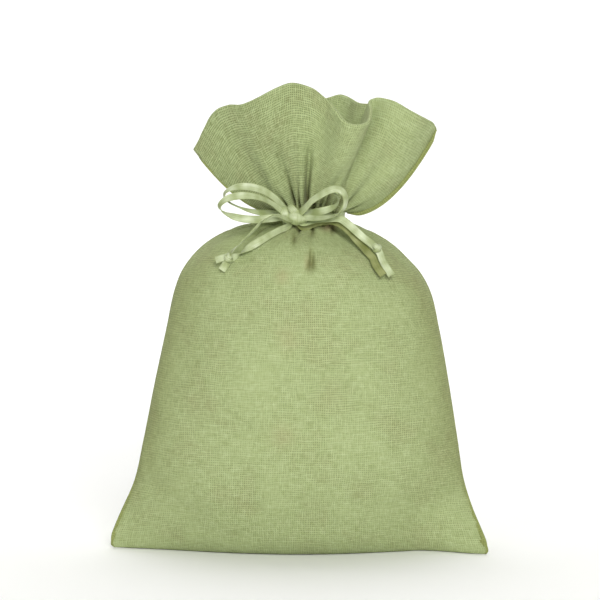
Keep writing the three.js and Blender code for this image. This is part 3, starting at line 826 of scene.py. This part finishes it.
def seamWelt(name, column, firstRow, lastRow, outward, reachOut):
    edge = (frontGrid[firstRow:lastRow, column] + backGrid[firstRow:lastRow, column]) / 2
    line = evenly(edge, max(24, int(lineLength(edge) / 0.9)))
    along = unit(np.gradient(line, axis=0))
    out = unit(np.cross([0.0, 1.0, 0.0], along) * outward)
    up = np.cross(along, out)
    count = np.arange(len(line))
    wave = 0.12 * np.sin(count * 0.55) + 0.08 * np.sin(count * 1.3)
    line = line + out * (reachOut / 2 - seams["tuckedIn"]) + up * wave[:, None]
    ends = smoothstep(0, 6, np.minimum(count, count[::-1]))
    width = (reachOut + 2 * seams["tuckedIn"]) * (0.25 + 0.75 * ends)
    return sweepBand(name, line, out, up, width, seams["thickness"], 0.0, "cloth", shadedSeamMat)


bodyRows = (cloth["baseRows"], marks["neck"] - 4)
ruffleRows = (marks["ruffle"] + 1, marks["rim"])
for name, column, rows, outward, reachOut, leaning in (
    ("left_side_seam", 0, bodyRows, -1, seams["welt"], False),
    ("right_side_seam", -1, bodyRows, 1, seams["welt"], False),
    ("left_ruffle_seam", 0, ruffleRows, -1, seams["welt"], True),
    ("right_ruffle_seam", -1, ruffleRows, 1, seams["rightRuffleWelt"], True),
):
    seam = seamWelt(name + "_cloth", column, *rows, outward, reachOut)
    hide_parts(name)
    (clothBends if leaning else stayPut).append(seam)

count = 150
base = [np.linspace(-72.5, 72.0, count), 0.12 * np.sin(np.linspace(0, 40, count)), np.full(count, 3.4)]
bottomSeam = sweepBand(
    "bottom_seam_cloth", cornersOut(np.stack(base, axis=1)), np.tile([0.0, 0.0, 1.0], (count, 1)),
    np.tile([0.0, 1.0, 0.0], (count, 1)), seams["allowance"], seams["thickness"], 0.0, "cloth", shadedSeamMat,
)
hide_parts("bottom_seam")


rosette = {
    "outer": 11.6,
    "inner": 0.9,
    "above": 3.0,  # its edge stands this far over the tie's band
    "sunk": 3.8,
    "pleats": 17,
}


def liningRosette():
    # the drawn-up lining that shuts the mouth, seen from above down the ruffle
    turn = np.linspace(0, 2 * math.pi, 288)
    rows = []
    for share in np.linspace(0, 1, 26):
        radius = rosette["outer"] * (1 - share) + rosette["inner"] * share
        pleat = np.cos(rosette["pleats"] * turn + 2.2 * share + 0.8 * np.sin(2 * turn))
        swell = (0.25 + 3.0 * share * (1 - share)) * pleat
        z = cloth["neckTop"] + rosette["above"] - rosette["sunk"] * share ** 0.8 + swell
        rows.append(np.stack([tiePoint.x / mm + radius * np.cos(turn), radius * np.sin(turn), z], axis=1))
    grid = np.array(rows)
    grid[:, -1] = grid[:, 0]
    # the rosette carries no attribute for painted light, so the cloth material paints all of it with the
    # turned-away shade
    piece = gridMesh("channel_lining_cloth", grid, 2 * cloth["panelWidth"] * mm)
    work = bmesh.new()
    work.from_mesh(piece.data)
    bmesh.ops.remove_doubles(work, verts=work.verts, dist=1e-6)
    work.to_mesh(piece.data)
    work.free()
    thicken(piece, cloth["thickness"])
    return piece


lining = liningRosette()
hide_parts("channel_lining")


def stitchRow(name, row):
    # one stitch, modelled once and set along the cloth in both halves
    bpy.ops.object.select_all(action="DESELECT")
    bpy.ops.mesh.primitive_uv_sphere_add(segments=10, ring_count=6, radius=1, location=(0, 0, 0))
    stitch = bpy.context.object
    pattern = np.array([tuple(v.co) for v in stitch.data.vertices])
    radius, length = seams["stitchRadius"], seams["stitchLength"]
    pattern = pattern * np.array([radius, radius, length / 2])
    patternFaces = [tuple(p.vertices) for p in stitch.data.polygons]
    bpy.data.objects.remove(stitch)
    verts, faces = [], []
    for grid, side in ((frontGrid, -1), (backGrid, 1)):
        normals = outwards(grid, side)[row]
        line = grid[row] + normals * 0.10
        step = length + seams["stitchGap"]
        reach = reachAlong(line)
        for i in range(int(lineLength(line) / step)):
            start = i * step
            ends = np.array([np.interp([start, start + length], reach, line[:, k]) for k in range(3)]).T
            along = ends[1] - ends[0]
            size = np.linalg.norm(along)
            if size < 0.6 * length:
                continue
            turnTo = np.array(Vector(along).to_track_quat("Z", "Y").to_matrix())
            spot = (ends[0] + ends[1]) / 2
            shaped = pattern * np.array([1, 1, size / length])
            faces += [tuple(v + len(verts) for v in f) for f in patternFaces]
            verts += (shaped @ turnTo.T + spot).tolist()
    mesh = bpy.data.meshes.new(name)
    mesh.from_pydata((np.array(verts) * mm).tolist(), [], faces)
    mesh.polygons.foreach_set("use_smooth", [True] * len(mesh.polygons))
    piece = linkPiece(name, mesh, stitchMat)
    return piece


neckRows = frontGrid[:, cloth["columns"] // 2, 2]
lowerStitches = stitchRow("lower_channel_stitches", int(np.argmax(neckRows > seams["lowerStitches"])))
upperStitches = stitchRow("upper_channel_stitches", marks["ruffle"] + 5)
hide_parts("lower_channel_stitching")
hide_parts("upper_channel_stitching")
print("seams and stitches made")


# ---- ribbons ----

ribbon = {
    "width": 3.0,
    "thickness": 0.34,
    "curl": 0.14,  # how far the middle of the band stands off its edges
    "ripple": 0.07,
}
knotAt = np.array(knotMiddle) / mm


def ribbonPiece(name, points, tilts, material):
    # points in millimetres from the knot, tilts the direction of the width at each of them
    line = catmull(points, max(60, int(1.9 * lineLength(np.array(points, float)))))
    across, up = steadyDirections(line, tilts)
    piece = sweepBand(
        name, line + knotAt, across, up, ribbon["width"], ribbon["thickness"], ribbon["curl"], "ribbon",
        material, ripple=ribbon["ripple"],
    )
    return piece, (line + knotAt) * mm


# free ribbon, as points from the middle of the knot in millimetres: right, back, up; and at each of them
# the direction of the ribbon's width; ends are what else of the plain model the piece stands for
bowLoops = {
    "left_front_loop": {
        "points": [
            (-1.6, -1.2, 1.4), (-4.6, -2.8, 2.6), (-8.4, -5.2, 5.6), (-13, -7, 8), (-18, -7.8, 9),
            (-22.8, -8, 8.8), (-26.8, -7.9, 7.6), (-29.2, -7.7, 5.4), (-28.6, -7.8, 3.2),
            (-25.6, -7.9, 1.5), (-21, -7.8, 0.2), (-15.6, -7, -0.3), (-10, -5, 0), (-5, -3, 0.6),
            (-1.6, -1.4, 0.6),
        ],
        "tilts": [
            (0.3, 0.6, 0.7), (0.3, 0.7, 0.6), (0.3, 0.85, 0.4), (0.1, 0.8, 0.5), (0.05, 0.6, 0.75),
            (0, 0.35, 0.9), (-0.3, 0.5, 0.75), (-0.5, 0.8, 0.2), (-0.2, 0.85, 0.3), (0.1, 0.5, 0.85),
            (0, 0.2, 0.95), (0, 0.15, 1), (0, 0.2, 1), (0, 0.3, 0.9), (0, 0.5, 0.8),
        ],
    },
    "left_back_loop": {
        "points": [
            (-1.4, 0.2, 1.6), (-3.9, 1, 3.8), (-8, -0.6, 8), (-12.4, -2, 10.9), (-17.4, -2.8, 12.3),
            (-22.6, -3.2, 12.3), (-26.8, -3.4, 10.6), (-27.6, -3.5, 8.2), (-25.6, -3.4, 6.2),
            (-22.4, -3.2, 4.6), (-18.4, -2.8, 3.2), (-14, -1.8, 2.3), (-9.4, -0.2, 1.8), (-5, 1.2, 1.3),
            (-1.6, 0.4, 0.6),
        ],
        "tilts": [
            (0.3, 0.6, 0.7), (0.4, 0.8, 0.5), (0.4, 0.6, 0.6), (0.2, 0.5, 0.8), (0.05, 0.3, 0.95),
            (-0.1, 0.3, 0.95), (-0.4, 0.6, 0.6), (-0.3, 0.9, 0.1), (0, 1, 0.1), (0, 1, 0.1), (0, 0.9, 0.4),
            (0, 0.7, 0.7), (0, 0.5, 0.8), (0, 0.5, 0.8), (0, 0.5, 0.8),
        ],
    },
    "right_front_loop": {
        "points": [
            (1.2, -1.2, 1.4), (3.6, -2.8, 3.4), (6.6, -4.8, 6.8), (10, -6.4, 9.2), (13.2, -7.4, 11),
            (16.2, -7.8, 11.6), (18.8, -7.8, 10.4), (19.9, -7.6, 7.4), (18.9, -7.4, 3.8),
            (16.2, -7.2, 1.4), (12, -6.4, 0.4), (8.4, -5, 0.1), (4.9, -3, 0.2), (1.6, -1.4, 0.2),
        ],
        "tilts": [
            (-0.4, 0.6, 0.6), (-0.5, 0.7, 0.5), (-0.5, 0.7, 0.5), (-0.4, 0.6, 0.6), (-0.2, 0.4, 0.9),
            (0.1, 0.3, 0.95), (0.5, 0.5, 0.6), (0.6, 0.8, 0.1), (0.45, 0.9, -0.2), (0.2, 0.9, 0.2),
            (0, 0.8, 0.55), (0, 0.75, 0.6), (0, 0.7, 0.7), (0, 0.6, 0.8),
        ],
    },
    "right_back_loop": {
        "points": [
            (1.2, 0.2, 1.6), (3.5, 0.6, 4), (6.2, -0.9, 6.8), (9.2, -2.3, 8.7), (12.4, -3.4, 10),
            (15.4, -4, 9.8), (17, -4, 7.6), (16.3, -3.9, 5.2), (13.6, -3.5, 3.7), (10.2, -2.3, 2.7),
            (7.4, -0.7, 2.2), (5, 0.6, 1.9), (1.6, 0.2, 0.8),
        ],
        "tilts": [
            (-0.4, 0.6, 0.6), (-0.4, 0.8, 0.3), (-0.3, 0.9, 0.3), (-0.1, 0.95, 0.2), (0, 1, 0.1),
            (0.1, 1, 0), (0, 1, -0.1), (-0.2, 0.9, 0.2), (-0.1, 0.5, 0.85), (0, 0.2, 0.95), (0, 0.15, 1),
            (0, 0.2, 1), (0, 0.4, 0.9),
        ],
    },
}
bowTails = {
    "left_edge_tail": {
        "ends": ["left_end_upper"],
        "points": [
            (-0.9, -2.4, -0.2), (-2.4, -4.4, -0.3), (-5, -6.9, 0.6), (-7.9, -8.6, 1.5),
            (-10.4, -10.2, 0.6), (-12.8, -11.1, -0.9), (-15.6, -11.6, -4), (-18.8, -11.4, -7.2),
            (-22.2, -10.8, -10.4), (-24.6, -10.2, -12.8), (-26.4, -9.8, -14.4), (-28.1, -9.4, -15.2),
            (-29.4, -9.2, -15.6), (-30.8, -8.8, -16.2),
        ],
        "tilts": [
            (0.2, 0.9, 0.3), (0.3, 0.9, 0.2), (0.35, 0.95, 0.1), (0.3, 0.95, 0), (0.2, 1, 0.05),
            (0.3, 0.95, 0.05), (0.4, 0.9, 0), (0.4, 0.9, 0), (0.4, 0.9, 0), (0.4, 0.85, 0.2),
            (0.4, 0.6, 0.5), (0.3, 0.4, 0.8), (0.3, 0.3, 0.9), (0.2, 0.3, 0.9),
        ],
    },
    "left_flat_tail": {
        "ends": ["left_end_lower"],
        "points": [
            (-0.9, -0.8, -1.0), (-2.8, -2, -3.2), (-6, -4.6, -4.6), (-10, -7, -6.6), (-14, -8.4, -8.9),
            (-18, -8.9, -11.3), (-21.2, -8.7, -13.4), (-23.2, -8.8, -14.6), (-25.4, -9.2, -15.8),
            (-26.6, -9.7, -17.3), (-27.4, -9.9, -18.6), (-28.4, -9.9, -20),
        ],
        "tilts": [
            (0.5, 0.2, 0.8), (0.45, 0.25, 0.9), (0.45, 0.1, 0.9), (0.45, 0, 0.9), (0.45, 0, 0.9),
            (0.45, 0.05, 0.9), (0.5, 0.1, 0.8), (0.5, 0.3, 0.7), (0.7, 0.4, 0.4), (0.9, 0.3, -0.3),
            (0.85, 0.2, -0.5), (0.85, 0.2, -0.5),
        ],
    },
    "right_bright_tail": {
        "ends": ["right_end_outer"],
        "points": [
            (1.4, -0.8, -0.9), (3.9, -1.2, -2), (8.6, -1.8, -0.8), (13, -2.9, -0.2), (17.4, -4.5, 0),
            (20.8, -5.9, -2.1), (24, -6.7, -4.9), (27.2, -6.9, -7.7), (29.9, -6.8, -9.7),
            (32, -6.8, -11.6), (33.3, -7, -13.6), (34.2, -7.6, -16.2), (35.8, -8.8, -19),
            (37.8, -10.2, -22),
        ],
        "tilts": [
            (0.3, 0.5, 0.8), (0.2, 0.7, 0.65), (0.1, 0.75, 0.65), (0.1, 0.6, 0.8), (0.3, 0.2, 0.9),
            (0.6, 0, 0.8), (0.6, 0, 0.75), (0.6, 0, 0.75), (0.6, 0.2, 0.7), (0.8, 0.4, 0.4),
            (0.95, 0.3, 0.2), (0.9, 0.5, 0.2), (0.9, 0.3, 0.4), (0.9, 0.1, 0.45),
        ],
    },
    "right_shaded_tail": {
        # drawn in the darker satin copy, painted shade
        "painted_shade": True,
        "ends": ["right_end_inner"],
        "points": [
            (1.2, 0, -1.4), (3.6, 0.3, -3.6), (7.2, 0.8, -2.4), (11, 0.3, -1.4), (15, -1.2, -1.2),
            (18.6, -3.4, -2.7), (21.6, -4.6, -5.4), (24.4, -5.4, -8.6), (27.2, -6.2, -11.6),
            (29.2, -7, -13.9), (30.6, -7.8, -15.4), (31.4, -9.2, -17.6), (32.9, -10.5, -19.8),
            (34.5, -11.7, -21.8),
        ],
        "tilts": [
            (0.8, 0.2, 0.3), (0.6, 0.2, 0.7), (0.1, 0.3, 0.9), (0.1, 0.3, 0.9), (0.3, 0.3, 0.9),
            (0.5, 0.35, 0.8), (0.7, 0.35, 0.7), (0.7, 0.35, 0.6), (0.7, 0.35, 0.6), (0.7, 0.4, 0.6),
            (0.9, 0.3, 0.4), (0.9, 0.4, 0.4), (0.8, 0.3, 0.5), (0.8, 0.2, 0.6),
        ],
    },
}


def freeRibbon(name, part, kind, farEnd, **withKnot):
    finish = shadedRibbonMat if part.get("painted_shade") else ribbonMat
    piece, path = ribbonPiece(name + "_ribbon", part["points"], part["tilts"], finish)
    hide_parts(name, *part.get("ends", []))
    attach(piece, name.split("_")[0] + "_" + kind)
    print(name, round(lineLength(path) / mm, 1))


for name, loop in bowLoops.items():
    freeRibbon(name, loop, "loops", "object")


lump = {
    "folds": 5,
    "bulge": 0.10,
    "creases": 13,
    "creaseDepth": 0.02,
}


def foldedLump(name, centre, size, taper, seed, leanOver=0.0):
    # ribbon pulled tight into a rounded lump, narrower to the right, with the folds running along it
    bpy.ops.object.select_all(action="DESELECT")
    bpy.ops.mesh.primitive_uv_sphere_add(segments=72, ring_count=44, radius=1, location=(0, 0, 0))
    piece = bpy.context.object
    piece.name = name
    for vert in piece.data.vertices:
        p = vert.co.normalized()
        around = math.atan2(p.z, -p.y)
        folds = 0.5 + 0.5 * math.cos(lump["folds"] * around + 1.6 * p.x + seed)
        creases = 0.5 + 0.5 * math.cos(lump["creases"] * around - 2.4 * p.x + 2 * seed)
        bulge = 1 + lump["bulge"] * (folds ** 0.6 - 0.6) + lump["creaseDepth"] * creases
        narrow = 1 - taper * smoothstep(-0.4, 1.0, p.x)
        x, y, z = p.x * size[0], p.y * size[1] * bulge * narrow, p.z * size[2] * bulge * narrow
        vert.co = Vector((x, y, z + leanOver * x)) * mm + Vector(centre * mm)
    layer = piece.data.uv_layers[0]
    layer.name = "ribbon"
    for item in layer.data:
        item.uv = ((item.uv[0] * 5 % 1 - 0.5) * 0.0026, item.uv[1] * size[0] * 2 * mm)
    piece.data.materials.append(ribbonMat)
    bpy.ops.object.shade_smooth()
    piece.select_set(False)
    return piece


def wrapBand(name, centre, axis, radii, width):
    # a turn of ribbon round a knot, as an ellipse about the axis
    axis = Vector(axis).normalized()
    first = axis.cross(Vector((0, 0, 1))).normalized()
    second = axis.cross(first)
    turns = np.radians(np.linspace(0, 360, 64))[:, None]
    line = np.array(first) * radii[0] * np.cos(turns) + np.array(second) * radii[1] * np.sin(turns)
    across = np.tile(np.array(axis), (len(line), 1))
    up = np.cross(unit(np.gradient(line, axis=0)), across)
    facing = -1 if (up * line).sum() < 0 else 1
    return sweepBand(
        name, line + centre, across * facing, up * facing, width, 0.4, 0.28, "ribbon", ribbonMat, ripple=0.05,
    )


def joinPieces(pieces, name):
    bpy.ops.object.select_all(action="DESELECT")
    for piece in pieces:
        piece.select_set(True)
    bpy.context.view_layer.objects.active = pieces[0]
    bpy.ops.object.join()
    joined = bpy.context.object
    joined.name = name
    joined.select_set(False)
    return joined


bowKnot = joinPieces([
    foldedLump("knot_front", knotAt + (1.1, -1.9, -0.1), (4.3, 2.7, 2.9), 0.6, 1.1, -0.16),
    foldedLump("knot_core", knotAt + (-1.4, 0.2, 1.0), (3.6, 2.6, 2.9), 0.1, 0.3),
    wrapBand("knot_left_turn", knotAt + (-4.0, -0.6, 1.2), (1, 0.1, 0.3), (3.0, 3.1), 3.3),
    wrapBand("knot_top_turn", knotAt + (-0.5, -0.4, 2.7), (0.75, 0.1, 0.7), (2.7, 2.5), 3.0),
], "bow_knot_ribbon")
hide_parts("bow_knot")
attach(bowKnot, "sack")

endKnots = {}
for name, body, lean in (("left_end_knot", "left_tails", -0.6), ("right_end_knot", "right_tails", 0.9)):
    low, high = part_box(name)
    centre = np.array((low + high) / 2) / mm
    piece = joinPieces([
        foldedLump(name + "_core", centre, (1.5, 1.3, 1.5), 0.0, 0.7),
        wrapBand(name + "_turn", centre, (1, 0.2, lean), (1.55, 1.6), 2.0),
        wrapBand(name + "_cross", centre + (0.2, -0.3, -0.2), (lean, 0.3, -1), (1.5, 1.5), 1.5),
    ], name + "_ribbon")
    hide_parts(name)
    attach(piece, body)
    endKnots[name] = piece

for name, tail in bowTails.items():
    endKnot = endKnots[name.split("_")[0] + "_end_knot"]
    freeRibbon(name, tail, "tails", "knot", with_pieces=[endKnot])


lead = {
    "width": 2.7,
    "inside": 1.6,  # how deep in the cloth it starts
    "outside": 0.4,  # how far off the cloth it runs
    "count": 60,
}


def drawstringLead(name, startAngle, endAngle, layer):
    # out of the channel at the side and round the front of the neck to the knot; degrees from the front,
    # towards the right
    angles = np.radians(np.linspace(startAngle, endAngle, lead["count"]))
    share = np.linspace(0, 1, lead["count"])
    comesOut = lead["inside"] + lead["outside"] + layer
    radius = cloth["neckRadius"] - lead["inside"] + comesOut * smoothstep(0, 0.16, share)
    radius = radius + 1.6 * smoothstep(0.82, 1, share)
    z = (cloth["neckLow"] + cloth["neckTop"]) / 2 + 0.25 * np.sin(share * 9 + layer)
    z = z - 0.5 * smoothstep(0.6, 1, share)
    line = np.stack([tiePoint.x / mm + radius * np.sin(angles), -radius * np.cos(angles), z], axis=1)
    line = evenly(line, lead["count"])
    across, up = steadyDirections(line, [(0, 0, 1), (0, 0.1, 1), (0, 0, 1)])
    piece = sweepBand(
        name, line, across, up, lead["width"], ribbon["thickness"], 0.1, "ribbon", ribbonMat, ripple=0.12,
    )
    return piece


leftLead = drawstringLead("left_drawstring_ribbon", -92, -30, 0.1)
rightLead = drawstringLead("right_drawstring_ribbon", 92, -14, 0.2)
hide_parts("left_drawstring")
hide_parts("right_drawstring")
print("bow made")


# ---- floor, light ----

studio = {
    "width": 6,
    "front": 3.4,
    "wall": 1.45,  # how far behind the sack the floor turns up
    "height": 3,
    "bend": 0.7,
    "ambient": 0.17,
}
lights = [
    {"name": "key", "place": (0.24, -1.5, 0.75), "size": 0.7, "power": 20.5},
    {"name": "fill", "place": (-0.9, -1.3, 0.6), "size": 0.8, "power": 3},
    {"name": "top", "place": (-0.1, 0.1, 1.5), "size": 0.9, "power": 2},
    {"name": "wall", "place": (0, 0.75, 1.5), "size": 1.7, "power": 20, "aim": (0, 1.6, 0.25)},
]


def selectWallEdge(sweep):
    # the edge where the floor meets the wall
    bpy.ops.mesh.select_all(action="DESELECT")
    work = bmesh.from_edit_mesh(sweep.data)
    for edge in work.edges:
        edge.select = all(abs(v.co.y - studio["wall"]) < 0.01 and v.co.z < 0.01 for v in edge.verts)
    bmesh.update_edit_mesh(sweep.data)


def addStage():
    bpy.ops.object.select_all(action="DESELECT")
    bpy.ops.mesh.primitive_plane_add(size=1, location=(0, 0, 0))
    sweep = bpy.context.object
    sweep.name = "sweep"
    sweep.scale = (studio["width"], studio["front"] + studio["wall"], 1)
    sweep.location = (0, (studio["wall"] - studio["front"]) / 2, 0)
    bpy.ops.object.transform_apply(location=True, rotation=False, scale=True)
    bpy.ops.object.mode_set(mode="EDIT")
    bpy.ops.mesh.select_mode(type="EDGE")
    selectWallEdge(sweep)
    bpy.ops.mesh.extrude_region_move(TRANSFORM_OT_translate={"value": (0, 0, studio["height"])})
    selectWallEdge(sweep)
    bpy.ops.mesh.bevel(offset=studio["bend"], segments=24, affect="EDGES")
    bpy.ops.object.mode_set(mode="OBJECT")
    bpy.ops.object.shade_smooth()
    sweep.select_set(False)
    mat, tree, shader = startMaterial("sweep")
    speckle = addNoise(tree, addNode(tree, "TexCoord").outputs["Object"], 3.0)
    paper = addRamp(tree, speckle, (0.3, (0.91, 0.91, 0.90)), (0.7, (0.93, 0.93, 0.92)))
    for socket, value in (("Base Color", paper), ("Roughness", 0.95), ("Specular IOR Level", 0.1)):
        feed(tree, shader.inputs[socket], value)
    sweep.data.materials.append(mat)
    sweep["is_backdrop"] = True
    world = bpy.data.worlds.new("studio")
    bpy.context.scene.world = world
    world.use_nodes = True
    background = world.node_tree.nodes["Background"]
    background.inputs[0].default_value = (1, 0.99, 0.93, 1)
    background.inputs[1].default_value = studio["ambient"]


def addLights():
    for light in lights:
        data = bpy.data.lights.new(light["name"], "AREA")
        data.size = light["size"]
        data.energy = light["power"]
        lamp = bpy.data.objects.new(light["name"], data)
        bpy.context.scene.collection.objects.link(lamp)
        lamp.location = light["place"]
        aim = Vector(light.get("aim", (0, 0, 0.1))) - Vector(light["place"])
        lamp.rotation_euler = aim.to_track_quat("-Z", "Y").to_euler()


addStage()
addLights()
bpy.context.scene.view_settings.view_transform = "Standard"

for piece in stayPut + [bottomSeam, lining, lowerStitches, upperStitches, leftLead, rightLead]:
    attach(piece, "sack")

# the cloth and the pieces on the ruffle get their transforms baked into their meshes
bpy.context.view_layer.update()
for piece in [frontCloth, backCloth] + clothBends:
    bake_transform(piece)

low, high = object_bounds()
